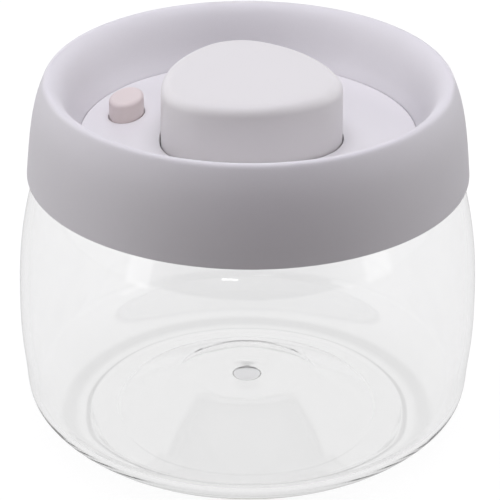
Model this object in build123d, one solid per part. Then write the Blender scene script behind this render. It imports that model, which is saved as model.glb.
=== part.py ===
from build123d import *
from math import cos, pi, radians, sin, sqrt
import os

# Vacuum seal canister: a clear round jar and a push-pump lid.
# Pressing the rounded three-sided knob drives a piston that empties the jar of air,
# and pressing the small oval button lets the air back in.
# Z is up, the origin is the centre of the ring that the jar stands on, lengths are in mm.

# Pump: the bore of its cylinder sets the width of all that is built round it
cylinder_bore = 14.0
cylinder_wall = 1.6
cylinder_floor = 1.8
washer_thickness = 0.8
washer_width = 4.0
spigot_step = 3.05
spigot_wall = 1.75
spigot_length = 5.8
spigot_gap = 0.2
strainer_wall = 2.1
strainer_floor = 1.2
strainer_gap = 0.1
strainer_edge = 0.6
strainer_slot_width = 1.1
strainer_slot_length = 6.0
strainer_slot_reach = 5.8
strainer_slots = 9
filter_thickness = 0.8
piston_gap = 0.4
piston_clearance = 0.7
piston_cover = 0.6
piston_height = 4.4
piston_flange = 0.8
piston_groove = 1.8
piston_wall = 1.2
piston_web = 1.6
seal_gap = 0.05
seal_lip = 0.8
seal_slack = 0.05
rod_radius = 4.5
rod_flange_lap = 3.0
rod_flange_thickness = 1.4
knob_boss_radius = 3.0
knob_boss_length = 6.5

# Rubber umbrella valves
inlet_valve_radius = 6.2
inlet_valve_thickness = 1.2
inlet_stem_radius = 1.5
inlet_hole_radius = 0.9
inlet_hole_reach = 4.1
inlet_holes = 6
outlet_valve_radius = 3.2
outlet_valve_thickness = 1.0
outlet_stem_radius = 1.0
outlet_gap = 0.4
outlet_hole_radius = 0.5
outlet_hole_reach = 2.0
outlet_holes = 4
valve_edge_thickness = 0.4
valve_bulb = 0.5
valve_bulb_height = 1.2

# Springs: their round wire is drawn with a few flats
pump_spring_wire = 1.0
pump_spring_gap = 2.1
pump_spring_turns = 5
release_spring_wire = 0.5
release_spring_radius = 2.35
release_spring_turns = 4
spring_slack = 0.05
spring_end_gap = 0.5
wire_sides = 6
spring_side_gap = 0.4
spring_fence_wall = 0.8
spring_fence_height = 0.8
knob_rib_wall = 0.9
knob_rib_height = 1.5

# Knob
knob_wall = 2.0
knob_lead = 3.3
knob_corner_radius = 15.0
knob_turn = 99.9
knob_sides = 3
knob_stand = 16.7
knob_edge = 3.0
knob_inner_edge = 1.2
knob_draft = 0.5
knob_gap = 0.25
knob_stroke = 12.0
stop_gap = 0.3
stop_lap = 1.6
stop_ring_thickness = 1.8
stop_ring_gap = 1.5
stop_ring_lip = 0.5
floor_clearance = 1.0

# Air release
release_azimuth = 161.6
release_travel = 2.5
button_length = 13.4
button_width = 8.8
button_stand = 5.35
button_wall = 1.4
button_roof = 1.8
button_edge = 1.2
button_gap = 0.2
button_finger_gap = 8.05
button_flange_lap = 1.0
button_flange_thickness = 1.0
stem_radius = 1.4
stem_socket = 0.8
stem_tail = 0.7
stem_groove = 0.4
air_gap = 0.8
release_seal_radius = 4.0
release_seal_thickness = 1.4
clip_radius = 3.2
clip_thickness = 1.0
spring_seat_radius = 3.0
spring_seat_depth = 0.5

# Screws
screw_radius = 1.1
screw_head_radius = 2.4
screw_head_height = 1.6
screw_hole_gap = 0.2
screw_edge = 0.4
collar_screw_length = 5.6
collar_screws = 4
collar_post_radius = 2.5
knob_screw_radius = 0.8
knob_screw_head_radius = 1.6
knob_screw_head_height = 1.1
knob_screw_length = 6.0
knob_post_radius = 2.1
knob_post_sink = 0.7
knob_post_length = 8.0
piston_screw_length = 6.5

# Plate, the white floor of the bowl
plate_thickness = 2.0
plate_gap = 0.1
plate_edge = 0.3
guide_depth = 3.7
guide_wall = 1.5

# Collar, the ring-shaped outer shell of the lid
ledge_gap = 0.45
ledge_width = 4.6
ledge_thickness = 2.0
bowl_slope = 8.5
bowl_depth = 15.9
collar_flare = 5.9
collar_height = 26.7
collar_wall = 2.0
skirt_gap = 1.5
skirt_depth = 6.5
# Outside of the collar: shares of the way out from the crest and of the collar's height
collar_shares = ((0.864, 0.315), (0.656, 0.629), (0.220, 0.944))
# Bowl wall: shares of the way out from the plate to the crest and of the bowl's depth
bowl_shares = ((0.824, 0.962), (0.553, 0.774), (0.353, 0.497), (0.153, 0.182))
# Where along each curve the hidden face of the shell is set off from the seen one
skirt_offset_shares = (0.25, 0.5, 0.75)
bowl_offset_shares = (0.45, 0.65, 0.85)
# Where the hidden face turns under the crest: shares of the wall, inwards and down from it
hidden_crest_shares = (0.25, 1.25)

# Lid base, the moulding that closes the jar and holds the pump
flange_thickness = 2.0
plug_gap = 0.6
plug_wall = 2.0
plug_depth = 9.4
plug_lip = 1.4
gasket_seat_depth = 1.4
gasket_height = 5.6
gasket_body = 0.9
gasket_lip_rise = 1.0
gasket_lip_tip = 0.5
gasket_lip_root = 1.1
gasket_lips = 2
gasket_gap = 0.15
deck_thickness = 2.0
well_gap = 1.0
well_wall = 1.6
well_floor = 2.0
well_rounding = 1.0
deck_rib_height = 3.0
deck_rib_thickness = 1.2
deck_ribs = 8

# Jar
jar_height = 83.0
jar_wall = 2.0
neck_length = 5.5
shoulder_width = 6.55
heel_width = 18.05
foot_width = 2.5
foot_blend = 6.0
push_up_lip = 0.8
push_up_slope = 19.5
plateau_height = 10.5
plateau_rounding = 12.0
jar_floor = 2.5
jar_floor_rounding = 0.8
foot_rounding = 0.8
gate_radius = 3.9
gate_depth = 0.5
rim_rounding = 0.8
# Outside of the jar from heel to shoulder: shares of the belly radius and of the neck's height
jar_wall_shares = (
    (0.832, 0.043), (0.915, 0.094), (0.965, 0.150), (0.980, 0.226), (0.995, 0.348),
    (1.000, 0.516), (0.989, 0.697), (0.964, 0.832), (0.940, 0.910),
)

# Every cut runs past its piece by this much
overrun = 1.0

# Reaches from the axis, worked outwards from the pump to the jar
cylinder_radius = cylinder_bore + cylinder_wall
spigot_radius = cylinder_bore - spigot_step
outlet_reach = rod_radius + outlet_gap + outlet_valve_radius
pump_spring_radius = cylinder_radius + pump_spring_gap + pump_spring_wire / 2
stop_ring_bore = pump_spring_radius + pump_spring_wire / 2 + stop_ring_gap
knob_side_reach = stop_ring_bore + stop_ring_lip + knob_wall
knob_corner_reach = knob_side_reach + knob_lead
knob_screw_reach = knob_corner_reach - knob_wall - knob_post_radius + knob_post_sink
well_radius = knob_corner_reach + stop_lap + well_gap
release_reach = knob_side_reach + button_finger_gap + button_width / 2
ledge_radius = release_reach + button_width / 2 + button_flange_lap + ledge_gap
collar_screw_reach = ledge_radius + collar_post_radius
bowl_radius = ledge_radius + ledge_width
crest_radius = bowl_radius + bowl_slope
collar_radius = crest_radius + collar_flare
neck_radius = collar_radius - collar_wall - skirt_gap
neck_bore = neck_radius - jar_wall
belly_radius = neck_radius + shoulder_width
foot_radius = belly_radius - heel_width
push_up_radius = foot_radius - foot_width - foot_blend
plateau_radius = push_up_radius - push_up_slope

# Heights, worked down from the crest of the lid and up from the floor of its well
neck_foot = jar_height - neck_length
collar_foot = jar_height - skirt_depth
crest_height = collar_foot + collar_height
plate_top = crest_height - bowl_depth
plate_under = plate_top - plate_thickness
ledge_under = plate_under - ledge_thickness
deck_top = plate_under - button_gap - button_flange_thickness - release_travel - stop_gap
deck_under = deck_top - deck_thickness
guide_foot = plate_under - guide_depth
ring_top = guide_foot - stop_gap
ring_under = ring_top - stop_ring_thickness
well_floor_top = ring_under - knob_stroke - floor_clearance
well_floor_under = well_floor_top - well_floor
cylinder_foot = well_floor_top + washer_thickness
cylinder_floor_top = cylinder_foot + cylinder_floor
knob_top = plate_top + knob_stand
knob_ceiling = knob_top - knob_wall
piston_foot = cylinder_floor_top + inlet_valve_thickness + piston_clearance + knob_stroke
piston_top = piston_foot + piston_height
piston_web_under = piston_top - piston_web
cylinder_top = piston_top + piston_cover
spigot_foot = cylinder_foot - spigot_length
strainer_inside = spigot_foot - filter_thickness
button_top = plate_top + button_stand
button_ceiling = button_top - button_roof
button_flange_top = plate_under - button_gap

release_place = Location((release_reach * cos(radians(release_azimuth)),
                          release_reach * sin(radians(release_azimuth)), 0), (0, 0, release_azimuth))


def turned(*points):
    """Solid of revolution about Z from a closed outline of (radius, height) points."""
    return revolve(Plane.XZ * make_face(Polyline(*points, close=True)), Axis.Z)


def turned_curves(*curves):
    """Solid of revolution about Z from curves that join end to end."""
    edges = [edge for curve in curves for edge in curve.edges()]
    return revolve(Plane.XZ * make_face(edges), Axis.Z)


def tube(outer, inner, low, high):
    """Straight round tube between two heights."""
    return turned((inner, low), (outer, low), (outer, high), (inner, high))


def rod(radius, low, high):
    """Straight round bar on the Z axis between two heights."""
    return turned((0, low), (radius, low), (radius, high), (0, high))


def around(count, reach, start=0.0):
    """Evenly spaced places on a circle, each turned to face outwards."""
    step = 2 * pi / count
    angles = [radians(start) + step * index for index in range(count)]
    return [Location((reach * cos(a), reach * sin(a), 0), (0, 0, a * 180 / pi)) for a in angles]


def set_off(curve, share, distance):
    """Point beside a curve, to the left of the way it runs."""
    point = curve.position_at(share)
    heading = curve.tangent_at(share)
    return (point.X - heading.Y * distance, point.Y + heading.X * distance)


def spring(radius, wire, turns, low, high):
    """Coil spring with a nearly closed turn at each end, swept along pairs of tangent arcs."""
    bottom = low + wire / 2 + spring_slack
    top = high - wire / 2 - spring_slack
    end_pitch = wire + spring_end_gap
    middle_pitch = (top - bottom - 2 * end_pitch) / (turns - 2)
    stations = []
    for half in range(2 * turns + 1):
        turn = half / 2
        middle_turns = min(max(turn - 1, 0), turns - 2)
        end_turns = turn - middle_turns
        height = bottom + end_pitch * end_turns + middle_pitch * middle_turns
        before = end_pitch if turn <= 1 or turn > turns - 1 else middle_pitch
        after = end_pitch if turn < 1 or turn >= turns - 1 else middle_pitch
        angle = 2 * pi * turn
        rise = (before + after) / 2 / (2 * pi)
        place = Vector(radius * cos(angle), radius * sin(angle), height)
        heading = Vector(-radius * sin(angle), radius * cos(angle), rise).normalized()
        stations.append((place, heading))
    arcs = []
    for (start, leave), (end, arrive) in zip(stations, stations[1:]):
        span = end - start
        both = leave + arrive
        bend = 2 * (1 - leave.dot(arrive))
        reach = (sqrt(span.dot(both) ** 2 + bend * span.dot(span)) - span.dot(both)) / bend
        middle = (start + end + (leave - arrive) * reach) * 0.5
        arcs.append(TangentArc(start, middle, tangent=leave))
        arcs.append(TangentArc(end, middle, tangent=arrive * -1))
    path = Wire([edge for arc in arcs for edge in arc.edges()])
    start, heading = stations[0]
    report_gap(stations, radius, wire, end_pitch, middle_pitch)
    return sweep(Plane(start, z_dir=heading) * RegularPolygon(wire / 2, wire_sides), path=path)


def report_gap(stations, radius, wire, end_pitch, middle_pitch):
    """Print the least gap between neighbouring turns of a spring."""
    lean = cos(min(end_pitch, middle_pitch) / (2 * pi * radius))
    print(f"spring of {len(stations) // 2} turns: least gap "
          f"{min(end_pitch, middle_pitch) * lean - wire:.2f} mm, "
          f"length {stations[-1][0].Z - stations[0][0].Z + wire:.2f} mm")


def umbrella(radius, thickness, stem_radius, web_top, web_under):
    """Rubber umbrella valve: a domed flap above a web and a stem with a bulb below it."""
    bulb_top = web_under
    bulb_foot = bulb_top - valve_bulb_height
    return turned(
        (0, bulb_foot), (stem_radius, bulb_foot), (stem_radius + valve_bulb, bulb_top),
        (stem_radius, bulb_top), (stem_radius, web_top), (radius, web_top),
        (radius, web_top + valve_edge_thickness), (stem_radius, web_top + thickness),
        (0, web_top + thickness),
    )


def screw(radius, head_radius, head_height, length, head_top):
    """Screw driven from below, with its head under the height given."""
    head_foot = head_top - head_height
    return turned(
        (0, head_foot), (head_radius - screw_edge, head_foot), (head_radius, head_foot + screw_edge),
        (head_radius, head_top), (radius, head_top), (radius, head_top + length), (0, head_top + length),
    )


def knob_face(grow):
    """Rounded three-sided outline of the knob, made larger all round by the amount given."""
    lead = knob_corner_reach - knob_side_reach
    corner_out = knob_corner_reach - knob_corner_radius
    side_back = lead * (2 * corner_out - lead) / (corner_out - 2 * lead)
    side_radius = knob_side_reach + side_back
    half_step = pi / knob_sides
    arcs = []
    for index in range(knob_sides):
        corner_angle = radians(knob_turn) + 2 * half_step * index
        corner = Vector(cos(corner_angle), sin(corner_angle)) * corner_out
        ends = []
        for turn in (-half_step, half_step):
            side = Vector(cos(corner_angle + turn), sin(corner_angle + turn)) * -side_back
            ends.append(corner + (corner - side).normalized() * (knob_corner_radius + grow))
        tip = Vector(cos(corner_angle), sin(corner_angle)) * (knob_corner_reach + grow)
        arcs.append(ThreePointArc(ends[0], tip, ends[1]))
        side_angle = corner_angle + half_step
        side = Vector(cos(side_angle), sin(side_angle)) * -side_back
        side_middle = Vector(cos(side_angle), sin(side_angle)) * (knob_side_reach + grow)
        next_angle = corner_angle + 2 * half_step
        next_corner = Vector(cos(next_angle), sin(next_angle)) * corner_out
        side_end = next_corner + (next_corner - side).normalized() * (knob_corner_radius + grow)
        arcs.append(ThreePointArc(ends[1], side_middle, side_end))
    return make_face([edge for arc in arcs for edge in arc.edges()])


def knob_block(grow, low, high, taper=0.0):
    """Upright block with the knob's outline between two heights."""
    return Pos(0, 0, low) * extrude(knob_face(grow), amount=high - low, taper=taper)


def button_block(grow, low, high):
    """Upright oval block of the release button between two heights, round the Z axis."""
    oval = Ellipse(button_width / 2 + grow, button_length / 2 + grow)
    return Pos(0, 0, low) * extrude(oval, amount=high - low)


def jar_body():
    """Clear jar: foot ring, domed-in floor, swelling wall, shoulder and plain neck."""
    wall_points = [(belly_radius * out, neck_foot * up) for out, up in jar_wall_shares]
    outside = Spline((foot_radius, 0), *wall_points, (neck_radius, neck_foot))
    inside_shares = [index / (2 * len(wall_points)) for index in range(2 * len(wall_points) + 1)]
    inside_points = [set_off(outside, share, jar_wall) for share in inside_shares[:-1]]
    inside = Spline(*inside_points, (neck_bore, neck_foot))
    under = FilletPolyline(
        (0, plateau_height), (plateau_radius, plateau_height), (push_up_radius, push_up_lip),
        (foot_radius - foot_width, 0), (foot_radius, 0),
        radius=[plateau_rounding, jar_floor_rounding, foot_rounding],
    )
    floor_top = plateau_height + jar_floor
    over = FilletPolyline(
        (0, floor_top), (plateau_radius, floor_top), (push_up_radius, push_up_lip + jar_floor),
        inside_points[0],
        radius=[plateau_rounding + jar_floor, jar_floor_rounding],
    )
    neck = Polyline((neck_radius, neck_foot), (neck_radius, jar_height),
                    (neck_bore, jar_height), (neck_bore, neck_foot))
    middle = Line((0, plateau_height), (0, floor_top))
    jar = turned_curves(under, outside, neck, inside, over, middle)
    jar = fillet(jar.edges().group_by(Axis.Z)[-1], rim_rounding)
    return jar - rod(gate_radius, plateau_height - overrun, plateau_height + gate_depth)


def collar():
    """Matt outer shell: drooping skirt, rounded crest, bowl wall and the ledge for the plate."""
    out = collar_radius - crest_radius
    skirt_points = [(crest_radius + out * share, collar_foot + collar_height * rise)
                    for share, rise in collar_shares]
    skirt = Spline((collar_radius, collar_foot), *skirt_points, (crest_radius, crest_height),
                   tangents=[(skirt_points[0][0] - collar_radius, skirt_points[0][1] - collar_foot),
                             (-1, 0)])
    dish = crest_radius - bowl_radius
    bowl_points = [(bowl_radius + dish * share, plate_top + bowl_depth * rise)
                   for share, rise in bowl_shares]
    bowl = Spline((crest_radius, crest_height), *bowl_points, (bowl_radius, plate_top),
                  tangents=[(-1, 0), (bowl_radius - bowl_points[-1][0], plate_top - bowl_points[-1][1])])
    hidden_points = [(collar_radius - collar_wall, collar_foot)]
    hidden_points += [set_off(skirt, share, collar_wall) for share in skirt_offset_shares]
    inwards, down = hidden_crest_shares
    hidden_points.append((crest_radius - collar_wall * inwards, crest_height - collar_wall * down))
    hidden_points += [set_off(bowl, share, collar_wall) for share in bowl_offset_shares]
    ledge_back = bowl_radius + collar_wall
    hidden = Spline(*hidden_points, (ledge_back, plate_under))
    foot = Line((collar_radius, collar_foot), hidden_points[0])
    ledge = Polyline((ledge_back, plate_under), (ledge_back, ledge_under),
                     (ledge_radius, ledge_under), (ledge_radius, plate_under),
                     (bowl_radius, plate_under), (bowl_radius, plate_top))
    shell = turned_curves(skirt, bowl, ledge, hidden, foot)
    for place in around(collar_screws, collar_screw_reach, screw_azimuth()):
        shell += place * rod(collar_post_radius, deck_top, plate_under)
        shell -= place * rod(screw_radius, deck_top - overrun, plate_under + overrun)
    return shell


def screw_azimuth():
    """Direction of the first collar screw, midway between the release valve's quarters."""
    return release_azimuth + 180 / collar_screws


def top_plate():
    """White plate with the knob's guide below it and the button's opening."""
    plate = rod(bowl_radius - plate_gap, plate_under, plate_top)
    plate += knob_block(knob_gap + guide_wall, guide_foot, plate_under)
    plate -= knob_block(knob_gap, guide_foot - overrun, plate_top + overrun)
    plate -= release_place * button_block(button_gap, plate_under - overrun, plate_top + overrun)
    return fillet(plate.edges().group_by(Axis.Z)[-1], plate_edge)


def lid_base():
    """Base of the lid: rim flange, plug with the gasket's groove, ribbed deck and pump well."""
    plug_radius = neck_bore - plug_gap
    seat_radius = plug_radius - gasket_seat_depth
    plug_inside = seat_radius - plug_wall
    plug_foot = jar_height - plug_depth
    groove_foot = plug_foot + plug_lip
    groove_top = groove_foot + gasket_height
    well_outside = well_radius + well_wall
    base = turned(
        (spigot_radius + spigot_gap, well_floor_under), (well_outside, well_floor_under),
        (well_outside, deck_under), (plug_inside, deck_under), (plug_inside, plug_foot),
        (plug_radius, plug_foot), (plug_radius, groove_foot), (seat_radius, groove_foot),
        (seat_radius, groove_top), (plug_radius, groove_top), (plug_radius, jar_height),
        (neck_radius, jar_height), (neck_radius, jar_height + flange_thickness),
        (plug_inside, jar_height + flange_thickness), (plug_inside, deck_top),
        (well_radius, deck_top), (well_radius, well_floor_top),
        (spigot_radius + spigot_gap, well_floor_top),
    )
    corner = base.edges().filter_by(GeomType.CIRCLE).group_by(Axis.Z)[0].sort_by(SortBy.RADIUS)[-1]
    base = fillet(corner, well_rounding)
    rib_middle = (well_outside + plug_inside) / 2
    rib_length = plug_inside - well_outside + plug_wall
    rib = Box(rib_length, deck_rib_thickness, deck_rib_height,
              align=(Align.CENTER, Align.CENTER, Align.MAX))
    quarter = 180 / deck_ribs
    for place in around(deck_ribs, rib_middle, release_azimuth + quarter):
        base += place * Pos(0, 0, deck_under) * rib
    base += tube(fence_radius(), fence_radius() - spring_fence_wall,
                 well_floor_top, well_floor_top + spring_fence_height)
    for place in around(collar_screws, collar_screw_reach, screw_azimuth()):
        base -= place * rod(screw_radius + screw_hole_gap, deck_under - overrun, deck_top + overrun)
    base -= release_place * rod(stem_radius + air_gap, deck_under - overrun, deck_top + overrun)
    base -= release_place * rod(spring_seat_radius, deck_top - spring_seat_depth, deck_top + overrun)
    return base


def fence_radius():
    """Outside of the low ring that keeps the pump spring in place."""
    return pump_spring_radius + pump_spring_wire / 2 + spring_side_gap + spring_fence_wall


def mouth_gasket():
    """Silicone gasket of the lid's plug, with slanted lips that wipe the jar's neck."""
    inner = neck_bore - plug_gap - gasket_seat_depth
    body = inner + gasket_body
    tip = neck_bore - gasket_gap
    foot = jar_height - plug_depth + plug_lip
    pitch = gasket_height / gasket_lips
    points = [(inner, foot), (body, foot)]
    for index in range(gasket_lips):
        low = foot + pitch * index + gasket_lip_tip
        points += [(body, low), (tip, low + gasket_lip_rise),
                   (tip, low + gasket_lip_rise + gasket_lip_tip), (body, low + gasket_lip_root)]
    points += [(body, foot + gasket_height), (inner, foot + gasket_height)]
    return turned(*points)


def pump_cylinder():
    """Pump cylinder: smooth bore, floor with inlet holes, and the spigot below."""
    spigot_bore = spigot_radius - spigot_wall
    cylinder = turned(
        (0, cylinder_foot), (spigot_bore, cylinder_foot), (spigot_bore, spigot_foot),
        (spigot_radius, spigot_foot), (spigot_radius, cylinder_foot), (cylinder_radius, cylinder_foot),
        (cylinder_radius, cylinder_top), (cylinder_bore, cylinder_top),
        (cylinder_bore, cylinder_floor_top), (0, cylinder_floor_top),
    )
    cylinder -= rod(inlet_stem_radius, cylinder_foot - overrun, cylinder_floor_top + overrun)
    for place in around(inlet_holes, inlet_hole_reach):
        cylinder -= place * rod(inlet_hole_radius, cylinder_foot - overrun, cylinder_floor_top + overrun)
    return cylinder


def cylinder_seal():
    """Flat washer that seals the cylinder to the floor of the well."""
    return tube(cylinder_radius, cylinder_radius - washer_width, well_floor_top, cylinder_foot)


def inlet_valve():
    """One-way valve that lets air out of the jar into the cylinder."""
    return umbrella(inlet_valve_radius, inlet_valve_thickness, inlet_stem_radius,
                    cylinder_floor_top, cylinder_foot)


def strainer_cap():
    """Screw cap that clamps the cylinder from below and strains the air."""
    bore = spigot_radius + strainer_gap
    outside = bore + strainer_wall
    foot = strainer_inside - strainer_floor
    cap = turned((0, foot), (outside - strainer_edge, foot), (outside, foot + strainer_edge),
                 (outside, well_floor_under), (bore, well_floor_under),
                 (bore, strainer_inside), (0, strainer_inside))
    slot = Box(strainer_slot_length, strainer_slot_width, 2 * strainer_floor + 2 * overrun)
    for place in around(strainer_slots, strainer_slot_reach):
        cap -= place * Pos(0, 0, strainer_inside) * slot
    return cap


def filter_disc():
    """Felt disc that keeps crumbs and powder out of the pump."""
    return rod(spigot_radius, strainer_inside, spigot_foot)


def collar_screw_set():
    """Screws that join the lid base to the collar from below."""
    body = screw(screw_radius, screw_head_radius, screw_head_height, collar_screw_length, deck_under)
    return Compound([place * body for place in around(collar_screws, collar_screw_reach, screw_azimuth())])


def pump_spring():
    """Return spring of the knob, standing in the well round the cylinder."""
    return spring(pump_spring_radius, pump_spring_wire, pump_spring_turns, well_floor_top, knob_ceiling)


def release_spring():
    """Return spring of the release button."""
    coil = spring(release_spring_radius, release_spring_wire, release_spring_turns,
                  deck_top - spring_seat_depth, button_ceiling)
    return release_place * coil


def knob_shell():
    """Hollow knob with screw posts in its corners and a boss for the piston rod."""
    block = knob_block(0.0, ring_top, knob_top, knob_draft)
    block = fillet(block.edges().group_by(Axis.Z)[-1], knob_edge)
    hollow = knob_block(-knob_wall, ring_top, knob_ceiling, knob_draft)
    hollow = fillet(hollow.edges().group_by(Axis.Z)[-1], knob_inner_edge)
    hollow += knob_block(-knob_wall, ring_top - overrun, ring_top)
    shell = block - hollow
    rib_outside = pump_spring_radius - pump_spring_wire / 2 - spring_side_gap
    shell += tube(rib_outside, rib_outside - knob_rib_wall, knob_ceiling - knob_rib_height, knob_ceiling)
    shell += rod(knob_boss_radius, knob_ceiling - knob_boss_length, knob_ceiling)
    for place in around(knob_sides, knob_screw_reach, knob_turn):
        shell += place * rod(knob_post_radius, ring_top, ring_top + knob_post_length)
        shell -= place * rod(knob_screw_radius, ring_top - overrun, ring_top + knob_screw_length)
    return shell


def knob_stop_ring():
    """Ring screwed under the knob, which stops it at the plate's guide."""
    ring = knob_block(stop_lap, ring_under, ring_top)
    ring -= rod(stop_ring_bore, ring_under - overrun, ring_top + overrun)
    for place in around(knob_sides, knob_screw_reach, knob_turn):
        ring -= place * rod(knob_screw_radius + screw_hole_gap, ring_under - overrun, ring_top + overrun)
        ring -= place * rod(knob_screw_head_radius + screw_hole_gap,
                            ring_under - overrun, ring_under + knob_screw_head_height)
    return ring


def knob_screw_set():
    """Small screws that hold the stop ring to the knob."""
    head_top = ring_under + knob_screw_head_height
    length = ring_top - head_top + knob_screw_length
    body = screw(knob_screw_radius, knob_screw_head_radius, knob_screw_head_height, length, head_top)
    return Compound([place * body for place in around(knob_sides, knob_screw_reach, knob_turn)])


def piston_rod():
    """Rod from the knob's boss down to the piston head."""
    bar = rod(rod_radius, piston_top, knob_ceiling)
    bar += rod(rod_radius + rod_flange_lap, knob_ceiling - rod_flange_thickness, knob_ceiling)
    bar -= rod(knob_boss_radius, knob_ceiling - knob_boss_length, knob_ceiling + overrun)
    return bar - rod(screw_radius, piston_top - overrun, piston_top + piston_screw_length - piston_web)


def outlet_place():
    """Place of the outlet valve on the piston head."""
    return around(1, outlet_reach, release_azimuth)[0]


def piston_head():
    """Piston head: a cup with a groove for its seal and holes for the outlet valve."""
    flange = cylinder_bore - piston_gap
    groove = flange - piston_groove
    inside = groove - piston_wall
    head = turned(
        (0, piston_web_under), (inside, piston_web_under), (inside, piston_foot),
        (flange, piston_foot), (flange, piston_foot + piston_flange),
        (groove, piston_foot + piston_flange), (groove, piston_top - piston_flange),
        (flange, piston_top - piston_flange), (flange, piston_top), (0, piston_top),
    )
    head -= rod(screw_radius + screw_hole_gap, piston_foot - overrun, piston_top + overrun)
    place = outlet_place()
    head -= place * rod(outlet_stem_radius, piston_foot - overrun, piston_top + overrun)
    for hole in around(outlet_holes, outlet_hole_reach, 180 / outlet_holes):
        head -= place * hole * rod(outlet_hole_radius, piston_foot - overrun, piston_top + overrun)
    return head


def piston_seal():
    """Double-lipped cup seal in the piston's groove."""
    groove = cylinder_bore - piston_gap - piston_groove
    tip = cylinder_bore - seal_gap
    back = tip - seal_lip
    foot = piston_foot + piston_flange + seal_slack
    top = piston_top - piston_flange - seal_slack
    middle = (foot + top) / 2
    return turned(
        (groove, foot), (back, foot), (tip, foot), (tip, foot + seal_lip / 2), (back, middle),
        (tip, top - seal_lip / 2), (tip, top), (back, top), (groove, top),
    )


def outlet_valve():
    """One-way valve that lets the pumped air out through the piston head."""
    return outlet_place() * umbrella(outlet_valve_radius, outlet_valve_thickness, outlet_stem_radius,
                                     piston_top, piston_web_under)


def piston_screw():
    """Screw that fastens the piston head to its rod."""
    return screw(screw_radius, screw_head_radius, screw_head_height, piston_screw_length, piston_web_under)


def release_button():
    """Oval button cap with a stop flange under the plate and a socket for its stem."""
    cap = button_block(0.0, button_flange_top - button_flange_thickness, button_top)
    cap = fillet(cap.edges().group_by(Axis.Z)[-1], button_edge)
    cap += button_block(button_flange_lap, button_flange_top - button_flange_thickness, button_flange_top)
    cap -= button_block(-button_wall, button_flange_top - button_flange_thickness - overrun, button_ceiling)
    cap -= rod(stem_radius, button_ceiling - overrun, button_ceiling + stem_socket)
    return release_place * cap


def release_stem():
    """Steel stem from the button down through the deck, grooved for its clip."""
    seal_foot = deck_under - release_seal_thickness
    clip_foot = seal_foot - clip_thickness
    stem = turned(
        (0, clip_foot - stem_tail), (stem_radius, clip_foot - stem_tail), (stem_radius, clip_foot),
        (stem_radius - stem_groove, clip_foot), (stem_radius - stem_groove, seal_foot),
        (stem_radius, seal_foot), (stem_radius, button_ceiling + stem_socket),
        (0, button_ceiling + stem_socket),
    )
    return release_place * stem


def release_seal():
    """Silicone washer that closes the air hole from below."""
    return release_place * tube(release_seal_radius, stem_radius,
                                deck_under - release_seal_thickness, deck_under)


def release_clip():
    """Retaining washer that holds the seal on the stem."""
    seal_foot = deck_under - release_seal_thickness
    return release_place * tube(clip_radius, stem_radius - stem_groove, seal_foot - clip_thickness, seal_foot)


pieces = {
    "jar_body": jar_body,
    "collar": collar,
    "top_plate": top_plate,
    "lid_base": lid_base,
    "mouth_gasket": mouth_gasket,
    "pump_cylinder": pump_cylinder,
    "cylinder_seal": cylinder_seal,
    "inlet_valve": inlet_valve,
    "strainer_cap": strainer_cap,
    "filter_disc": filter_disc,
    "collar_screws": collar_screw_set,
    "pump_spring": pump_spring,
    "release_spring": release_spring,
    "knob_shell": knob_shell,
    "knob_stop_ring": knob_stop_ring,
    "knob_screws": knob_screw_set,
    "piston_rod": piston_rod,
    "piston_head": piston_head,
    "piston_seal": piston_seal,
    "outlet_valve": outlet_valve,
    "piston_screw": piston_screw,
    "release_button": release_button,
    "release_stem": release_stem,
    "release_seal": release_seal,
    "release_clip": release_clip,
}

os.makedirs("parts", exist_ok=True)
for name, make in pieces.items():
    export_step(make(), f"parts/{name}.step")
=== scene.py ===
from math import atan2, cos, pi, radians, sin, tan

import bpy
import numpy as np
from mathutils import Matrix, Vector


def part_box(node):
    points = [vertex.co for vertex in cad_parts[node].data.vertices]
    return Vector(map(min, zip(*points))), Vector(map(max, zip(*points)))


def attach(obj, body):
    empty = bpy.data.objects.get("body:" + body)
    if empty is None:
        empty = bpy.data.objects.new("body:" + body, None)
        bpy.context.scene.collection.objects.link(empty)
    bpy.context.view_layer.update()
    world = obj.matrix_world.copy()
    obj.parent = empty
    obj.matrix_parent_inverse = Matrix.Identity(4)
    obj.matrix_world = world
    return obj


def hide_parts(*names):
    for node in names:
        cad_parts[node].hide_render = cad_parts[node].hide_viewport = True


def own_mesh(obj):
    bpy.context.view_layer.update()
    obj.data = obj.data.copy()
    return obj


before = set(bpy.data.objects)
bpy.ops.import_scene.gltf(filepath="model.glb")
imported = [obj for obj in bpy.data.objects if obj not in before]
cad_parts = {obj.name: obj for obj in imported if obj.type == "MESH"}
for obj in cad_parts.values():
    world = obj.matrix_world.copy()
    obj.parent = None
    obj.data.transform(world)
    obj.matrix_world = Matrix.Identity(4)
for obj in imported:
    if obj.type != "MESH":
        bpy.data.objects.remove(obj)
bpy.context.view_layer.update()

# Jar: the clear container, injection moulded in one piece from copolyester.
# It stands on a narrow ring, its floor is domed inwards, its wall swells gently
# to a rounded shoulder, and a plain neck goes up into the lid.
mm = 0.001
jar_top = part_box("jar_body")[1].z
belly_radius = 63.05 * mm
jar_wall = 2.0 * mm
neck_radius = 56.5 * mm
neck_length = 5.5 * mm
foot_radius = 45.0 * mm
foot_width = 2.5 * mm
foot_rounding = 0.8 * mm
push_up_radius = 36.5 * mm
push_up_lip = 0.8 * mm
plateau_radius = 17.0 * mm
plateau_height = 10.5 * mm
plateau_rounding = 12.0 * mm
jar_floor = 2.5 * mm
jar_floor_rounding = 0.8 * mm
corner_rounding = 0.5 * mm
rim_rounding = 0.8 * mm
gate_radius = 3.9 * mm
gate_depth = 0.5 * mm
gate_rounding = 0.2 * mm
jar_wall_steps = 110
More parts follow.
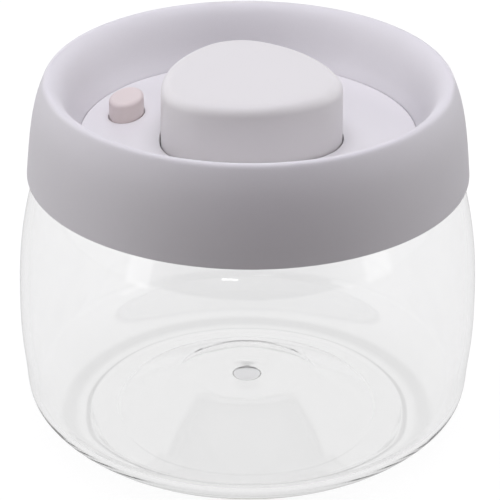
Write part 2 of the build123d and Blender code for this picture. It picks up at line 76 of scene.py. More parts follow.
# Shares of the belly radius and of the neck's height, from heel to shoulder
jar_wall_shares = (
    (0.832, 0.043), (0.915, 0.094), (0.965, 0.150), (0.980, 0.226), (0.995, 0.348),
    (1.000, 0.516), (0.989, 0.697), (0.964, 0.832), (0.940, 0.910),
)
jar_colour = "#FDFDFD"
gate_scar_colour = "#D6D6DA"


def linear(hex_colour):
    """An sRGB hex colour as the linear values that shaders take."""
    parts = [int(hex_colour[i:i + 2], 16) / 255 for i in (1, 3, 5)]
    return [part / 12.92 if part <= 0.04045 else ((part + 0.055) / 1.055) ** 2.4 for part in parts] + [1.0]


def connect(tree, node, inputs):
    """Sets a node's inputs to values, or links them to the outputs of other nodes."""
    for name, value in inputs.items():
        if isinstance(value, bpy.types.NodeSocket):
            tree.links.new(value, node.inputs[name])
        else:
            node.inputs[name].default_value = value


def add(tree, kind, inputs=None, **settings):
    """Adds a shader node with its settings and its inputs' values and links."""
    node = tree.nodes.new(kind)
    for name, value in settings.items():
        setattr(node, name, value)
    connect(tree, node, inputs or {})
    return node


def new_material(name):
    """A new material, its node tree, its shader, and the place on the piece that its patterns follow."""
    material = bpy.data.materials.new(name)
    material.use_nodes = True
    tree = material.node_tree
    return material, tree, tree.nodes["Principled BSDF"], add(tree, "ShaderNodeTexCoord").outputs["Object"]


def fair_curve(points, steps, start=None, end=None):
    """Points along the smooth curve through a few given ones, with set directions at its ends if given."""
    knots = np.array(points, float)
    gaps = np.linalg.norm(np.diff(knots, axis=0), axis=1)
    reached = np.concatenate([[0], np.cumsum(gaps)])
    count = len(knots)
    rows = np.zeros((count, count))
    wanted = np.zeros((count, 2))
    # Slope and bend run on without a break through each inner point
    for inner in range(1, count - 1):
        before, after = gaps[inner - 1], gaps[inner]
        rows[inner, inner - 1:inner + 2] = after, 2 * (before + after), before
        wanted[inner] = 3 * (after * (knots[inner] - knots[inner - 1]) / before
                             + before * (knots[inner + 1] - knots[inner]) / after)
    for row, neighbour, direction in ((0, 1, start), (count - 1, count - 2, end)):
        if direction is None:
            low = min(row, neighbour)
            rows[row, row] = 2
            rows[row, neighbour] = 1
            wanted[row] = 3 * (knots[low + 1] - knots[low]) / gaps[low]
        else:
            rows[row, row] = 1
            wanted[row] = np.array(direction, float) / np.linalg.norm(direction)
    slopes = np.linalg.solve(rows, wanted)
    curve = []
    for place in np.linspace(0, reached[-1], steps + 1):
        low = min(int(np.searchsorted(reached, place, side="right")) - 1, count - 2)
        gap = gaps[low]
        part = (place - reached[low]) / gap
        square, cube = part**2, part**3
        curve.append(tuple((2 * cube - 3 * square + 1) * knots[low]
                           + (cube - 2 * square + part) * gap * slopes[low]
                           + (3 * square - 2 * cube) * knots[low + 1]
                           + (cube - square) * gap * slopes[low + 1]))
    return curve


def rounded(points, radii, steps=8):
    """A run of straight lines with each inner corner rounded by its radius."""
    line = [points[0]]
    for before, at, after, radius in zip(points, points[1:], points[2:], radii):
        corner = Vector(at)
        into = (Vector(before) - corner).normalized()
        out = (Vector(after) - corner).normalized()
        half = into.angle(out) / 2
        middle = corner + (into + out).normalized() * radius / sin(half)
        first = corner + into * radius / tan(half)
        last = corner + out * radius / tan(half)
        start, end = (atan2(*(point - middle).yx) for point in (first, last))
        turn = (end - start + pi) % (2 * pi) - pi
        for step in range(steps + 1):
            angle = start + turn * step / steps
            line.append((middle.x + radius * cos(angle), middle.y + radius * sin(angle)))
    return line + [points[-1]]


def beside(curve, distance):
    """The curve moved to its left by a distance."""
    points = np.array(curve)
    heading = np.gradient(points, axis=0)
    heading /= np.linalg.norm(heading, axis=1)[:, None]
    left = np.stack([-heading[:, 1], heading[:, 0]], axis=1)
    return [tuple(point) for point in points + distance * left]


def mesh_object(name, points, faces, sharp=35):
    """A smooth-shaded mesh object, with edges that turn by more than the angle given kept sharp."""
    mesh = bpy.data.meshes.new(name)
    mesh.from_pydata(points, [], faces)
    mesh.validate()
    mesh.shade_smooth()
    mesh.set_sharp_from_angle(angle=radians(sharp))
    made = bpy.data.objects.new(name, mesh)
    bpy.context.scene.collection.objects.link(made)
    return made


def lathe(name, outline, closed=False, segments=256):
    """A turned shape from an outline of (radius, height), which is closed or starts and ends on the axis."""
    points, rows, faces = [], [], []
    for radius, height in outline:
        first = len(points)
        if radius > 0:
            rows.append(range(first, first + segments))
            for step in range(segments):
                angle = 2 * pi * step / segments
                points.append((radius * cos(angle), radius * sin(angle), height))
        else:
            rows.append([first] * segments)
            points.append((0, 0, height))
    if closed:
        rows.append(rows[0])
    for low, high in zip(rows, rows[1:]):
        for step in range(segments):
            after = (step + 1) % segments
            face = list(dict.fromkeys((low[step], low[after], high[after], high[step])))
            if len(face) > 2:
                faces.append(face)
    return mesh_object(name, points, faces)


def jar_outline():
    """Outline of the jar's section, up the outside and down the inside."""
    neck_foot = jar_top - neck_length
    neck_bore = neck_radius - jar_wall
    floor_top = plateau_height + jar_floor
    gate = rounded([(0, plateau_height + gate_depth), (gate_radius, plateau_height + gate_depth),
                    (gate_radius, plateau_height), (plateau_radius, plateau_height)],
                   [gate_rounding, gate_rounding], steps=4)
    # The floor's underside starts where the gate's rounded edge ends
    under = rounded([gate[-2], (plateau_radius, plateau_height), (push_up_radius, push_up_lip),
                     (foot_radius - foot_width, 0), (foot_radius, 0)],
                    [plateau_rounding, jar_floor_rounding, foot_rounding])
    wall = [(belly_radius * out, neck_foot * up) for out, up in jar_wall_shares]
    outside = fair_curve([(foot_radius, 0), *wall, (neck_radius, neck_foot)], jar_wall_steps)
    inside = beside(outside, jar_wall)[:-1] + [(neck_bore, neck_foot)]
    rim = rounded([(neck_radius, neck_foot), (neck_radius, jar_top),
                   (neck_bore, jar_top), (neck_bore, neck_foot)], [rim_rounding, rim_rounding])
    # The inside's first steps make way for the rounded corner between wall and floor
    over = rounded([inside[2], inside[0], (push_up_radius, push_up_lip + jar_floor),
                    (plateau_radius, floor_top), (0, floor_top)],
                   [corner_rounding, jar_floor_rounding, plateau_rounding + jar_floor])
    return gate[:-2] + under + outside[1:] + rim[1:-1] + inside[:1:-1] + over[1:]


def clear_copolyester():
    """Clear copolyester, moulded in a polished tool: glass-like, with the faint ripple of a cooled wall."""
    material, tree, shader, place = new_material("clear_copolyester_polished_mould")
    # Ripple about 18 mm across, and fine wipe marks about 0.6 mm apart
    ripple = add(tree, "ShaderNodeTexNoise", {"Vector": place, "Scale": 1 / (18 * mm), "Detail": 1.0})
    wipes = add(tree, "ShaderNodeTexNoise", {"Vector": place, "Scale": 1 / (0.6 * mm), "Detail": 3.0})
    bump = add(tree, "ShaderNodeBump", {"Height": ripple.outputs["Fac"], "Strength": 0.04,
                                        "Distance": 0.3 * mm})
    rough = add(tree, "ShaderNodeMapRange", {"Value": wipes.outputs["Fac"], "To Min": 0.005, "To Max": 0.03})
    # The scar that the tool's gate leaves under the floor is cloudy
    split = add(tree, "ShaderNodeSeparateXYZ", {"Vector": place})
    flat = add(tree, "ShaderNodeCombineXYZ", {"X": split.outputs["X"], "Y": split.outputs["Y"]})
    off_axis = add(tree, "ShaderNodeVectorMath", {0: flat.outputs["Vector"]}, operation="LENGTH")
    within = add(tree, "ShaderNodeMath", {0: off_axis.outputs["Value"], 1: gate_radius - gate_rounding},
                 operation="LESS_THAN")
    low = add(tree, "ShaderNodeMath", {0: split.outputs["Z"], 1: plateau_height + 2 * gate_depth},
              operation="LESS_THAN")
    scar = add(tree, "ShaderNodeMath", {0: within.outputs["Value"], 1: low.outputs["Value"]},
               operation="MULTIPLY")
    tint = add(tree, "ShaderNodeMix", {"Factor": scar.outputs["Value"], "A": linear(jar_colour),
                                       "B": linear(gate_scar_colour)}, data_type="RGBA")
    connect(tree, shader, {"Base Color": tint.outputs["Result"], "Roughness": rough.outputs["Result"],
                           "Normal": bump.outputs["Normal"], "Transmission Weight": 1.0, "IOR": 1.54})
    return material


jar = lathe("jar", jar_outline())
jar.data.materials.append(clear_copolyester())
# Lamp light goes through the clear wall to the sheet and the lid's underside
jar.visible_shadow = False
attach(jar, "jar")
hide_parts("jar_body")

# Collar: the outer shell of the lid, moulded in light grey plastic with a fine spark-eroded matt skin.
# One wall goes up the outside, over a soft crest and down into a bowl, where a ledge carries the plate.
collar_foot, collar_crest = (corner.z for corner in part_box("collar"))
collar_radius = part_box("collar")[1].x
collar_wall = 2.0 * mm
crest_radius = 54.1 * mm
crest_core_in = 0.5 * mm
crest_core_drop = 2.5 * mm
bowl_radius = 45.6 * mm
plate_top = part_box("top_plate")[1].z
plate_thickness = 2.0 * mm
ledge_radius = 41.0 * mm
ledge_thickness = 2.0 * mm
collar_steps = 48
# Steps of skirt and bowl behind which the wall keeps its thickness: below the crest and above the ledge
skirt_steps = slice(1, 38)
bowl_steps = slice(24, 42)
# Shares of the way out from the crest and of the collar's height
collar_shares = ((0.864, 0.315), (0.656, 0.629), (0.220, 0.944))
# Shares of the way out from the plate to the crest and of the bowl's depth
bowl_shares = ((0.824, 0.962), (0.553, 0.774), (0.353, 0.497), (0.153, 0.182))
collar_colour = "#E1DFE3"


def collar_outline():
    """Closed outline of the collar's section."""
    height = collar_crest - collar_foot
    depth = collar_crest - plate_top
    inwards = (-1, 0)
    skirt_points = [(crest_radius + (collar_radius - crest_radius) * out, collar_foot + height * up)
                    for out, up in collar_shares]
    rise = (skirt_points[0][0] - collar_radius, skirt_points[0][1] - collar_foot)
    skirt = fair_curve([(collar_radius, collar_foot), *skirt_points, (crest_radius, collar_crest)],
                       collar_steps, rise, inwards)
    bowl_points = [(bowl_radius + (crest_radius - bowl_radius) * out, plate_top + depth * up)
                   for out, up in bowl_shares]
    fall = (bowl_radius - bowl_points[-1][0], plate_top - bowl_points[-1][1])
    bowl = fair_curve([(crest_radius, collar_crest), *bowl_points, (bowl_radius, plate_top)],
                      collar_steps, inwards, fall)
    plate_under = plate_top - plate_thickness
    ledge_under = plate_under - ledge_thickness
    ledge_back = bowl_radius + collar_wall
    hidden = [(collar_radius - collar_wall, collar_foot), *beside(skirt, collar_wall)[skirt_steps],
              (crest_radius - crest_core_in, collar_crest - crest_core_drop),
              *beside(bowl, collar_wall)[bowl_steps], (ledge_back, plate_under)]
    ledge = [(bowl_radius, plate_under), (ledge_radius, plate_under), (ledge_radius, ledge_under),
             (ledge_back, ledge_under)]
    return skirt + bowl[1:] + ledge + hidden[::-1]


def matt_plastic(name, colour, roughness, grain, grain_depth, shade=0.03, rough_spread=0.05):
    """Opaque moulded plastic: a fine grain, and soft blotches that vary a little in tone and shine."""
    material, tree, shader, place = new_material(name)
    # Blotches about 25 mm across
    broad = add(tree, "ShaderNodeTexNoise", {"Vector": place, "Scale": 1 / (25 * mm), "Detail": 2.0})
    fine = add(tree, "ShaderNodeTexNoise", {"Vector": place, "Scale": 1 / grain, "Detail": 4.0,
                                            "Roughness": 0.6})
    tone = add(tree, "ShaderNodeMapRange", {"Value": broad.outputs["Fac"], "To Min": 1 - shade,
                                            "To Max": 1 + shade})
    speck = add(tree, "ShaderNodeMapRange", {"Value": fine.outputs["Fac"], "To Min": 1 - shade,
                                             "To Max": 1 + shade})
    both = add(tree, "ShaderNodeMath", {0: tone.outputs["Result"], 1: speck.outputs["Result"]},
               operation="MULTIPLY")
    paint = add(tree, "ShaderNodeVectorMath", {0: linear(colour)[:3], "Scale": both.outputs["Value"]},
                operation="SCALE")
    rough = add(tree, "ShaderNodeMapRange", {"Value": broad.outputs["Fac"],
                                             "To Min": roughness - rough_spread,
                                             "To Max": roughness + rough_spread})
    bump = add(tree, "ShaderNodeBump", {"Height": fine.outputs["Fac"], "Strength": 0.5,
                                        "Distance": grain_depth})
    connect(tree, shader, {"Base Color": paint.outputs["Vector"], "Roughness": rough.outputs["Result"],
                           "Normal": bump.outputs["Normal"], "IOR": 1.49})
    return material


# Polypropylene from an eroded tool, dull and velvety: its grain is about 0.1 mm on the real one, and is
# drawn at 0.3 mm so that it shows
eroded_grey = matt_plastic("grey_polypropylene_eroded", collar_colour, 0.55, 0.3 * mm, 0.02 * mm)
collar = lathe("collar_shell", collar_outline(), closed=True)
collar.data.materials.append(eroded_grey)
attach(collar, "lid")
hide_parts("collar")

# Plate: the white floor of the bowl, a flat ABS moulding with a low gloss. It is pressed
# into the collar and lies on its ledge, and a guide under it keeps the knob upright.
plate_colour = "#E1DFE1"
# ABS from a smoothed tool: flat and even, with a low gloss and a grain drawn coarse so that it shows
white_plate = matt_plastic("white_abs_semi_gloss", plate_colour, 0.3, 0.5 * mm, 0.006 * mm, 0.012)


def dress(material, *names):
    """Gives pieces that stay as they were modelled a material."""
    for name in names:
        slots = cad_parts[name].data.materials
        slots.clear()
        slots.append(material)


dress(white_plate, "top_plate")

# Lid base: the white polypropylene moulding under the bowl, with the plug, the ribbed deck and
# the pump's well. Two silicone lips on its plug wipe the neck of the jar, and four steel screws
# hold it to the collar.
base_colour = "#E3E3E4"
silicone_colour = "#D3D6D8"
turned_steel_colour = "#C6C4C0"
line_squeeze = 8
# Polypropylene from a plain tool: waxy and half matt, with a grain drawn coarse so that it shows
white_base = matt_plastic("white_polypropylene_moulded", base_colour, 0.45, 0.4 * mm, 0.01 * mm, 0.015)


def silicone(name, colour):
    """Soft moulded silicone: cloudy, so that light soaks into it, with a dusty satin skin."""
    material, tree, shader, place = new_material(name)
    # Dust and handling marks about 2 mm across, and a skin grain of 0.2 mm
    dust = add(tree, "ShaderNodeTexNoise", {"Vector": place, "Scale": 1 / (2 * mm), "Detail": 5.0})
    grain = add(tree, "ShaderNodeTexNoise", {"Vector": place, "Scale": 1 / (0.2 * mm), "Detail": 2.0})
    rough = add(tree, "ShaderNodeMapRange", {"Value": dust.outputs["Fac"], "To Min": 0.35, "To Max": 0.6})
    bump = add(tree, "ShaderNodeBump", {"Height": grain.outputs["Fac"], "Strength": 0.3,
                                        "Distance": 0.01 * mm})
    connect(tree, shader, {"Base Color": linear(colour), "Roughness": rough.outputs["Result"],
                           "Normal": bump.outputs["Normal"], "IOR": 1.41,
                           "Subsurface Weight": 0.4, "Subsurface Scale": 1 * mm})
    return material


def stainless(name, colour, roughness, line):
    """Stainless steel with the fine lines of drawing or turning, and dull handled patches."""
    material, tree, shader, place = new_material(name)
    # Squeezed along Z, the lines run round the piece, and the dull patches are about 3 mm across
    squeezed = add(tree, "ShaderNodeMapping", {"Vector": place, "Scale": (1, 1, line_squeeze)})
    lines = add(tree, "ShaderNodeTexNoise", {"Vector": squeezed.outputs["Vector"], "Scale": 1 / line,
                                             "Detail": 2.0})
    patches = add(tree, "ShaderNodeTexNoise", {"Vector": place, "Scale": 1 / (3 * mm), "Detail": 3.0})
    rough = add(tree, "ShaderNodeMapRange", {"Value": patches.outputs["Fac"], "To Min": roughness - 0.06,
                                             "To Max": roughness + 0.1})
    bump = add(tree, "ShaderNodeBump", {"Height": lines.outputs["Fac"], "Strength": 0.2,
                                        "Distance": 0.01 * mm})
    connect(tree, shader, {"Base Color": linear(colour), "Metallic": 1.0,
                           "Roughness": rough.outputs["Result"], "Normal": bump.outputs["Normal"]})
    return material


grey_silicone = silicone("translucent_silicone_moulded", silicone_colour)
# Turned steel has a soft shine. Its lines are drawn 0.4 mm apart, so that they show
turned_steel = stainless("stainless_steel_turned", turned_steel_colour, 0.28, 0.4 * mm)
dress(white_base, "lid_base")
dress(grey_silicone, "mouth_gasket")
dress(turned_steel, "collar_screws")

# Pump cylinder: the smooth-bored ABS cup in the well, sealed by a flat washer and clamped by the
# strainer cap. A felt disc in the cap keeps crumbs out, and a silicone umbrella valve on the
# cylinder's floor lets the air in from the jar.
cylinder_colour = "#DCDDDE"
felt_colour = "#DEDCD6"
# ABS from a polished tool: glossy and even, with hardly any grain
natural_plastic = matt_plastic("natural_abs_polished_bore", cylinder_colour, 0.22, 0.6 * mm, 0.004 * mm, 0.01)


def pressed_felt():
    """White wool felt: matt crossing fibres, with a soft fuzz that lightens its edge."""
    material, tree, shader, place = new_material("white_wool_felt_pressed")
    # Fibres about 0.15 mm thick, in clumps of about 1 mm
    fibres = add(tree, "ShaderNodeTexNoise", {"Vector": place, "Scale": 1 / (0.15 * mm), "Detail": 4.0,
                                              "Distortion": 1.5})
    clumps = add(tree, "ShaderNodeTexNoise", {"Vector": place, "Scale": 1 / (1 * mm), "Detail": 2.0})
    tone = add(tree, "ShaderNodeMapRange", {"Value": clumps.outputs["Fac"], "To Min": 0.85, "To Max": 1.05})
    paint = add(tree, "ShaderNodeVectorMath", {0: linear(felt_colour)[:3], "Scale": tone.outputs["Result"]},
                operation="SCALE")
    rough = add(tree, "ShaderNodeMapRange", {"Value": fibres.outputs["Fac"], "To Min": 0.85, "To Max": 1.0})
    bump = add(tree, "ShaderNodeBump", {"Height": fibres.outputs["Fac"], "Strength": 0.8,
                                        "Distance": 0.08 * mm})
    connect(tree, shader, {"Base Color": paint.outputs["Vector"], "Roughness": rough.outputs["Result"],
                           "Normal": bump.outputs["Normal"], "Sheen Weight": 0.3})
    return material


dress(natural_plastic, "pump_cylinder")
dress(grey_silicone, "cylinder_seal", "inlet_valve")
dress(white_base, "strainer_cap")
dress(pressed_felt(), "filter_disc")

# Pump spring: the stainless steel coil round the cylinder, which pushes the knob up again after
# each stroke. Its end turns lie nearly closed, and the open turns between them share the travel.
spring_foot, spring_top = (corner.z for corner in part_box("pump_spring"))
spring_radius = 18.2 * mm
spring_wire = 1.0 * mm
spring_turns = 5
spring_end_gap = 0.5 * mm
wire_colour = "#BDBBB8"


def skin(name, rings, first_tip, last_tip, sharp=35):
    """A shape from rings of equal count, closed by a fan to a point before the first and after the last."""
    count = len(rings[0])
    points = [point for ring in rings for point in ring]
    steps = [(step, (step + 1) % count) for step in range(count)]
    last_ring = len(points) - count
    faces = []
    for low in range(0, last_ring, count):
        high = low + count
        faces += [(low + step, low + after, high + after, high + step) for step, after in steps]
    faces += [(len(points), after, step) for step, after in steps]
    points.append(first_tip)
    faces += [(len(points), last_ring + step, last_ring + after) for step, after in steps]
    points.append(last_tip)
    return mesh_object(name, points, faces, sharp)


def coil(name, centre, radius, wire, turns, end_gap, low, high, per_turn=48, sides=12):
    """A coil spring of round wire between two heights, with one nearly closed turn at each end."""
    bottom, top = low + wire / 2, high - wire / 2
    end_pitch = wire + end_gap
    middle_pitch = (top - bottom - 2 * end_pitch) / (turns - 2)
    rings, line = [], []
    for step in range(turns * per_turn + 1):
        turn = step / per_turn
        middle_turns = min(max(turn - 1, 0), turns - 2)
        height = bottom + end_pitch * (turn - middle_turns) + middle_pitch * middle_turns
        pitch = middle_pitch if 1 <= turn < turns - 1 else end_pitch
        angle = 2 * pi * turn
        out = Vector((cos(angle), sin(angle), 0))
        ahead = Vector((-radius * sin(angle), radius * cos(angle), pitch / (2 * pi))).normalized()
        up = out.cross(ahead)
        at = Vector((*centre, height)) + out * radius
        ring = []
        for side in range(sides):
            around = 2 * pi * side / sides
            ring.append(tuple(at + (out * cos(around) + up * sin(around)) * wire / 2))
        rings.append(ring)
        line.append(tuple(at))
    return skin(name, rings, line[0], line[-1], sharp=60)


# Drawn wire: shinier than the turned pieces, with finer lines along it
drawn_steel = stainless("stainless_steel_drawn_wire", wire_colour, 0.22, 0.2 * mm)
spring = coil("knob_return_spring", (0, 0), spring_radius, spring_wire, spring_turns, spring_end_gap,
              spring_foot, spring_top)
spring.data.materials.append(drawn_steel)
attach(spring, "lid")
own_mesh(spring)
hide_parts("pump_spring")

# Knob: a hollow white ABS moulding with a rounded three-sided outline and a soft top edge. The palm
# presses it down to pump. A ring, fixed to it by three small screws, stops it under the plate.
knob_foot, knob_top = (corner.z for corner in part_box("knob_shell"))
knob_corner_reach = 26.0 * mm
knob_side_reach = 22.7 * mm
knob_corner_radius = 15.0 * mm
knob_turn = radians(99.9)
knob_wall = 2.0 * mm
knob_edge = 3.0 * mm
knob_lean = tan(radians(0.5))
knob_sides = 3
knob_side_steps = 6
knob_edge_steps = 12
knob_top_steps = 8
knob_colour = "#E1DFDF"


def knob_ring(grow, height, per_arc=28):
    """Points of the knob's outline, made larger all round by an amount, at a height."""
    lead = knob_corner_reach - knob_side_reach
    corner_out = knob_corner_reach - knob_corner_radius
    side_back = lead * (2 * corner_out - lead) / (corner_out - 2 * lead)
    side_radius = knob_side_reach + side_back
    half_turn = pi / knob_sides
    ring = []
    for index in range(knob_sides):
        corner_angle = knob_turn + 2 * half_turn * index
        corner = Vector((cos(corner_angle), sin(corner_angle))) * corner_out
        side_angle = corner_angle + half_turn
        side = Vector((cos(side_angle), sin(side_angle))) * -side_back
        lean = atan2(*(corner - side).yx)
        half_corner = abs((lean - corner_angle + pi) % (2 * pi) - pi)
        half_side = half_turn - half_corner
        for centre, radius, facing, half in ((corner, knob_corner_radius, corner_angle, half_corner),
                                             (side, side_radius, side_angle, half_side)):
            for step in range(per_arc):
                angle = facing - half + 2 * half * step / per_arc
                ring.append((centre.x + (radius + grow) * cos(angle),
                             centre.y + (radius + grow) * sin(angle), height))
    return ring


def shrunk(ring, share, height):
    """A ring drawn in towards the Z axis to a share of its size, at another height."""
    return [(x * share, y * share, height) for x, y, _ in ring]


def knob_rings():
    """Rings of the knob: up the outside, over the soft edge and across its flat top."""
    rise = knob_top - knob_edge - knob_foot
    set_in = knob_lean * rise
    rings = []
    for step in range(knob_side_steps + 1):
        up = rise * step / knob_side_steps
        rings.append(knob_ring(-knob_lean * up, knob_foot + up))
    for step in range(1, knob_edge_steps + 1):
        angle = pi / 2 * step / knob_edge_steps
        rings.append(knob_ring(-set_in - knob_edge * (1 - cos(angle)),
                               knob_top - knob_edge + knob_edge * sin(angle)))
    outer = rings[-1]
    rings += [shrunk(outer, 1 - step / knob_top_steps, knob_top) for step in range(1, knob_top_steps)]
    return rings


# ABS from a finely blasted tool: satin, with a grain too fine for the eye that is drawn at 0.25 mm
satin_white = matt_plastic("white_abs_satin", knob_colour, 0.38, 0.25 * mm, 0.01 * mm, 0.012)
ceiling = knob_top - knob_wall
inner_rings = [knob_ring(-knob_wall, knob_foot),
               knob_ring(-knob_wall - knob_lean * (ceiling - knob_foot), ceiling)]
knob = skin("knob_cap", inner_rings[::-1] + knob_rings(), (0, 0, ceiling), (0, 0, knob_top))
knob.data.materials.append(satin_white)
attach(knob, "knob")
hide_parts("knob_shell")
dress(white_base, "knob_stop_ring")
dress(turned_steel, "knob_screws")

# Piston: an ABS rod down from the knob carries the piston head in the bore, with a double-lipped
# silicone seal. A small umbrella valve lets the pumped air out through the head, and one steel
# screw holds head and rod together.
dress(natural_plastic, "piston_rod", "piston_head")
dress(grey_silicone, "piston_seal", "outlet_valve")
dress(turned_steel, "piston_screw")

# Release button: a small oval cap of pale warm grey ABS. A fingertip presses it to let the air
# back in, and it slides in a hole in the plate.
button_foot, button_top = (corner.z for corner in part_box("release_button"))
button_reach = 35.15 * mm
button_azimuth = radians(161.6)
button_half_length = 6.7 * mm
button_half_width = 4.4 * mm
button_wall = 1.4 * mm
button_roof = 1.8 * mm
button_edge = 1.2 * mm
button_edge_steps = 8
button_top_steps = 5
button_top_rings = 3
button_colour = "#E4D8D6"


def oval_ring(grow, height, count=96):
    """Points of the button's oval outline, made larger by an amount, in place on the lid."""
    ring = []
    for step in range(count):
        angle = 2 * pi * step / count
        across, along = button_half_width * cos(angle), button_half_length * sin(angle)
        out = Vector((cos(angle) / button_half_width, sin(angle) / button_half_length)).normalized()
        across = across + grow * out.x + button_reach
        along = along + grow * out.y
        ring.append((across * cos(button_azimuth) - along * sin(button_azimuth),
                     across * sin(button_azimuth) + along * cos(button_azimuth), height))
    return ring


def button_rings():
    """Rings of the button from its hollow inside over its soft top edge."""
    roof = button_top - button_roof
    rings = [oval_ring(-button_wall, roof), oval_ring(-button_wall, button_foot),
             oval_ring(0, button_foot), oval_ring(0, button_top - button_edge)]
    for step in range(1, button_edge_steps + 1):
        angle = pi / 2 * step / button_edge_steps
        rings.append(oval_ring(-button_edge * (1 - cos(angle)),
                               button_top - button_edge + button_edge * sin(angle)))
    for step in range(1, button_top_rings + 1):
        rings.append(oval_ring(-button_edge - (button_half_width - button_edge) * step / button_top_steps,
                               button_top))
    return rings


button_centre = Vector((cos(button_azimuth), sin(button_azimuth), 0)) * button_reach
# The same satin skin as the knob's, in a warmer tone that sets the button off from the plate
satin_grey = matt_plastic("warm_grey_abs_satin", button_colour, 0.4, 0.25 * mm, 0.008 * mm, 0.01)
button = skin("button_cap", button_rings(), (*button_centre.xy, button_top - button_roof),
              (*button_centre.xy, button_top))
button.data.materials.append(satin_grey)
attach(button, "release")
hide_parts("release_button")

# Release stem: a grooved steel pin from the button down through the deck, with a silicone washer
# under the deck and a clip below it. A small coil spring round the pin holds the button up and
# the washer shut, until the button is pressed.
coil_foot, coil_top = (corner.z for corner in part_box("release_spring"))
release_spring_radius = 2.35 * mm
release_spring_wire = 0.5 * mm
release_spring_turns = 4
release_coil = coil("button_return_spring", button_centre.xy, release_spring_radius, release_spring_wire,
                    release_spring_turns, spring_end_gap, coil_foot, coil_top, per_turn=32, sides=10)
release_coil.data.materials.append(drawn_steel)
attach(release_coil, "lid")
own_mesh(release_coil)
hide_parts("release_spring")
dress(turned_steel, "release_stem", "release_clip")
dress(grey_silicone, "release_seal")

# Floor and backdrop: a pale sheet of paper under the canister, which keeps its shadow
# and goes out to plain white.
floor_half = 6.0
floor_drop = 0.1 * mm
white = linear("#FFFFFF")
# What the sheet adds where lamps light it, and what it sends up to the canister
lit_colour = "#6C6C6C"
bounce_colour = "#817E7E"
# How white the sheet is near the canister and far from it, and how far out each of the two begins to hold
near_white = 0.90
far_white = 1.0
near_reach = 300 * mm
far_reach = 900 * mm
# Shares of white that the sheet shows through the canister and mirrored in it
sheet_through = 0.80
sheet_mirrored = 0.55
# Painted shade: rings on the sheet, seen only through the canister, darken it where foot and heel come close
# to it: radius, half width, reach of the soft edge, and the share of the light that they take
painted_contact_shade = (
    (45.7 * mm, 0.3 * mm, 0.9 * mm, 0.25),
    (51.2 * mm, 1.2 * mm, 3.4 * mm, 0.13),
)
floor = mesh_object("floor", [(x * floor_half, y * floor_half, -floor_drop)
                              for x, y in ((-1, -1), (1, -1), (1, 1), (-1, 1))], [(0, 1, 2, 3)])


def paper_sheet():
    """White uncoated paper, matt, that just reaches white outside the shadow and sends little light up."""
    material, tree, shader, place = new_material("white_paper_sheet")
    tree.nodes.remove(shader)
    path = add(tree, "ShaderNodeLightPath").outputs
    away = add(tree, "ShaderNodeVectorMath", {0: place}, operation="LENGTH").outputs["Value"]
    whiteness = add(tree, "ShaderNodeMapRange", {"Value": away, "From Min": near_reach,
                                                 "From Max": far_reach, "To Min": near_white,
                                                 "To Max": far_white})
    through_with_painted_shade = sheet_through
    # Painted shade: each ring darkens the glow seen through the canister, as a contact shadow of foot and
    # heel
    for ring_radius, half_width, reach, share in painted_contact_shade:
        off = add(tree, "ShaderNodeMath", {0: away, 1: ring_radius}, operation="SUBTRACT")
        off = add(tree, "ShaderNodeMath", {0: off.outputs["Value"]}, operation="ABSOLUTE")
        left = add(tree, "ShaderNodeMapRange", {"Value": off.outputs["Value"], "From Min": half_width,
                                                "From Max": reach, "To Min": 1 - share, "To Max": 1.0})
        through_with_painted_shade = add(tree, "ShaderNodeMath", {0: through_with_painted_shade, 1: left.outputs["Result"]},
                          operation="MULTIPLY").outputs["Value"]
    seen = add(tree, "ShaderNodeEmission", {"Color": white, "Strength": whiteness.outputs["Result"]})
    through = add(tree, "ShaderNodeEmission", {"Color": white, "Strength": through_with_painted_shade})
    mirrored = add(tree, "ShaderNodeEmission", {"Color": white, "Strength": sheet_mirrored})
    glow = add(tree, "ShaderNodeMixShader", {0: path["Is Transmission Ray"], 1: mirrored.outputs[0],
                                             2: through.outputs[0]})
    glow = add(tree, "ShaderNodeMixShader", {0: path["Is Camera Ray"], 1: glow.outputs[0],
                                             2: seen.outputs[0]})
    lit = add(tree, "ShaderNodeBsdfDiffuse", {"Color": linear(lit_colour)})
    glowing = add(tree, "ShaderNodeAddShader", {0: lit.outputs[0], 1: glow.outputs[0]})
    bounce = add(tree, "ShaderNodeBsdfDiffuse", {"Color": linear(bounce_colour)})
    looked_at = path["Is Camera Ray"]
    for kind in ("Is Glossy Ray", "Is Transmission Ray"):
        looked_at = add(tree, "ShaderNodeMath", {0: looked_at, 1: path[kind]},
                        operation="MAXIMUM").outputs["Value"]
    mixed = add(tree, "ShaderNodeMixShader", {0: looked_at, 1: bounce.outputs[0], 2: glowing.outputs[0]})
    connect(tree, tree.nodes["Material Output"], {"Surface": mixed.outputs[0]})
    return material


floor.data.materials.append(paper_sheet())

# Studio: a dim room that is plain white to the camera. Rays that come off or through the canister
# see it white behind the canister and dark towards the camera, which draws the jar's dark edges.
room_colour = linear("#FFF9FA")
room_strength = 0.15
dark_strength = 0.02
bright_strength = 0.92
# The room is dark where a ray's direction along Y is below the first of these, and bright above the second
dark_below = -0.8
bright_above = -0.4
world = bpy.data.worlds.new("studio")
bpy.context.scene.world = world
world.use_nodes = True
tree = world.node_tree
tree.nodes.clear()
path = add(tree, "ShaderNodeLightPath").outputs
towards = add(tree, "ShaderNodeTexCoord").outputs["Generated"]
split = add(tree, "ShaderNodeSeparateXYZ", {"Vector": towards})
depth = add(tree, "ShaderNodeMapRange", {"Value": split.outputs["Y"], "From Min": dark_below,
                                         "From Max": bright_above, "To Min": dark_strength,
                                         "To Max": bright_strength})
around = add(tree, "ShaderNodeBackground", {"Color": room_colour, "Strength": room_strength})
reflected = add(tree, "ShaderNodeBackground", {"Color": white, "Strength": depth.outputs["Result"]})
plain = add(tree, "ShaderNodeBackground", {"Color": white, "Strength": 1.0})
clear = add(tree, "ShaderNodeMath", {0: path["Is Glossy Ray"], 1: path["Is Transmission Ray"]},
            operation="MAXIMUM")
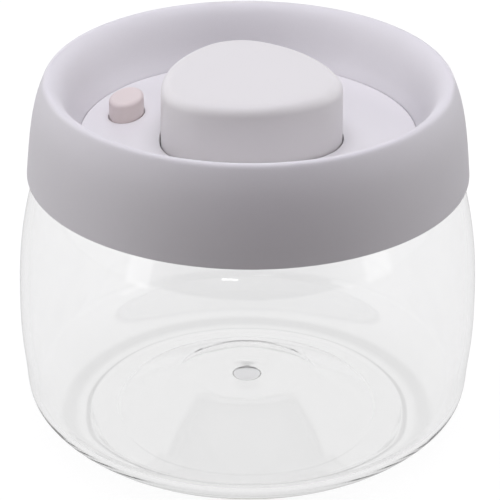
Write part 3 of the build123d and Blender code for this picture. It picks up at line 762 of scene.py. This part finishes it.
mixed = add(tree, "ShaderNodeMixShader", {0: clear.outputs["Value"], 1: around.outputs[0],
                                          2: reflected.outputs[0]})
mixed = add(tree, "ShaderNodeMixShader", {0: path["Is Camera Ray"], 1: mixed.outputs[0],
                                          2: plain.outputs[0]})
add(tree, "ShaderNodeOutputWorld", {"Surface": mixed.outputs[0]})

# Lamps: four soft panels light the canister and aren't mirrored in it. Two windows, and a lamp with
# two tubes in front, show as soft patches and a double streak on the jar's shoulder. Places and
# sizes are in metres.
aim_height = 60 * mm
plain_white = (1, 1, 1)
cool_white = (1, 0.995, 1.08)


def panel(name, place, size, watts, colour=plain_white, mirrored=False):
    """A soft light panel that faces the canister."""
    light = bpy.data.lights.new(name, "AREA")
    light.shape = "RECTANGLE"
    light.size, light.size_y = size
    light.energy = watts
    light.color = colour
    made = bpy.data.objects.new(name, light)
    bpy.context.scene.collection.objects.link(made)
    made.location = place
    aim = Vector((0, 0, aim_height)) - made.location
    made.rotation_euler = aim.to_track_quat("-Z", "Y").to_euler()
    made.visible_glossy = mirrored
    made.visible_transmission = mirrored


panel("top_panel", (0, 0.06, 1.25), (1.0, 0.8), 10.0, cool_white)
panel("front_panel", (0, -0.9, 0.95), (0.6, 0.6), 1.5, room_colour[:3])
panel("left_panel", (-1.2, 0.05, 0.35), (0.8, 0.8), 6.4)
panel("right_panel", (1.2, 0.25, 0.35), (0.8, 0.8), 5.2)
panel("left_window", (-0.80, -0.58, 0.16), (0.22, 0.3), 0.14, mirrored=True)
panel("right_window", (0.91, -0.40, 0.16), (0.26, 0.3), 0.12, mirrored=True)
panel("lower_lamp_tube", (-0.15, -1.0, 0.3), (0.14, 0.015), 0.035, mirrored=True)
panel("upper_lamp_tube", (-0.15, -1.0, 0.43), (0.14, 0.015), 0.035, mirrored=True)

# Camera: where the photograph was taken from, worked out from the outline of the lid, the jar
# and its foot. Dip and roll are in radians, the lens is in millimetres.
camera_distance = 650 * mm
camera_height = 386.75 * mm
camera_dip = radians(27.31)
camera_roll = 0.00635
camera_lens = 190.7
camera_shift = 0.0047
camera_data = bpy.data.cameras.new("camera")
camera_data.lens = camera_lens
camera_data.shift_x = camera_shift
camera = bpy.data.objects.new("camera", camera_data)
bpy.context.scene.collection.objects.link(camera)
camera.location = (0, -camera_distance, camera_height)
camera.rotation_mode = "XYZ"
camera.rotation_euler = (pi / 2 - camera_dip, 0, 0)
camera.rotation_euler.rotate_axis("Z", camera_roll)
bpy.context.scene.camera = camera
bpy.context.scene.view_settings.view_transform = "Standard"
# Light runs a long way round inside clear plastic before it leaves it
bpy.context.scene.cycles.max_bounces = 32
bpy.context.scene.cycles.glossy_bounces = 24
bpy.context.scene.cycles.transmission_bounces = 32
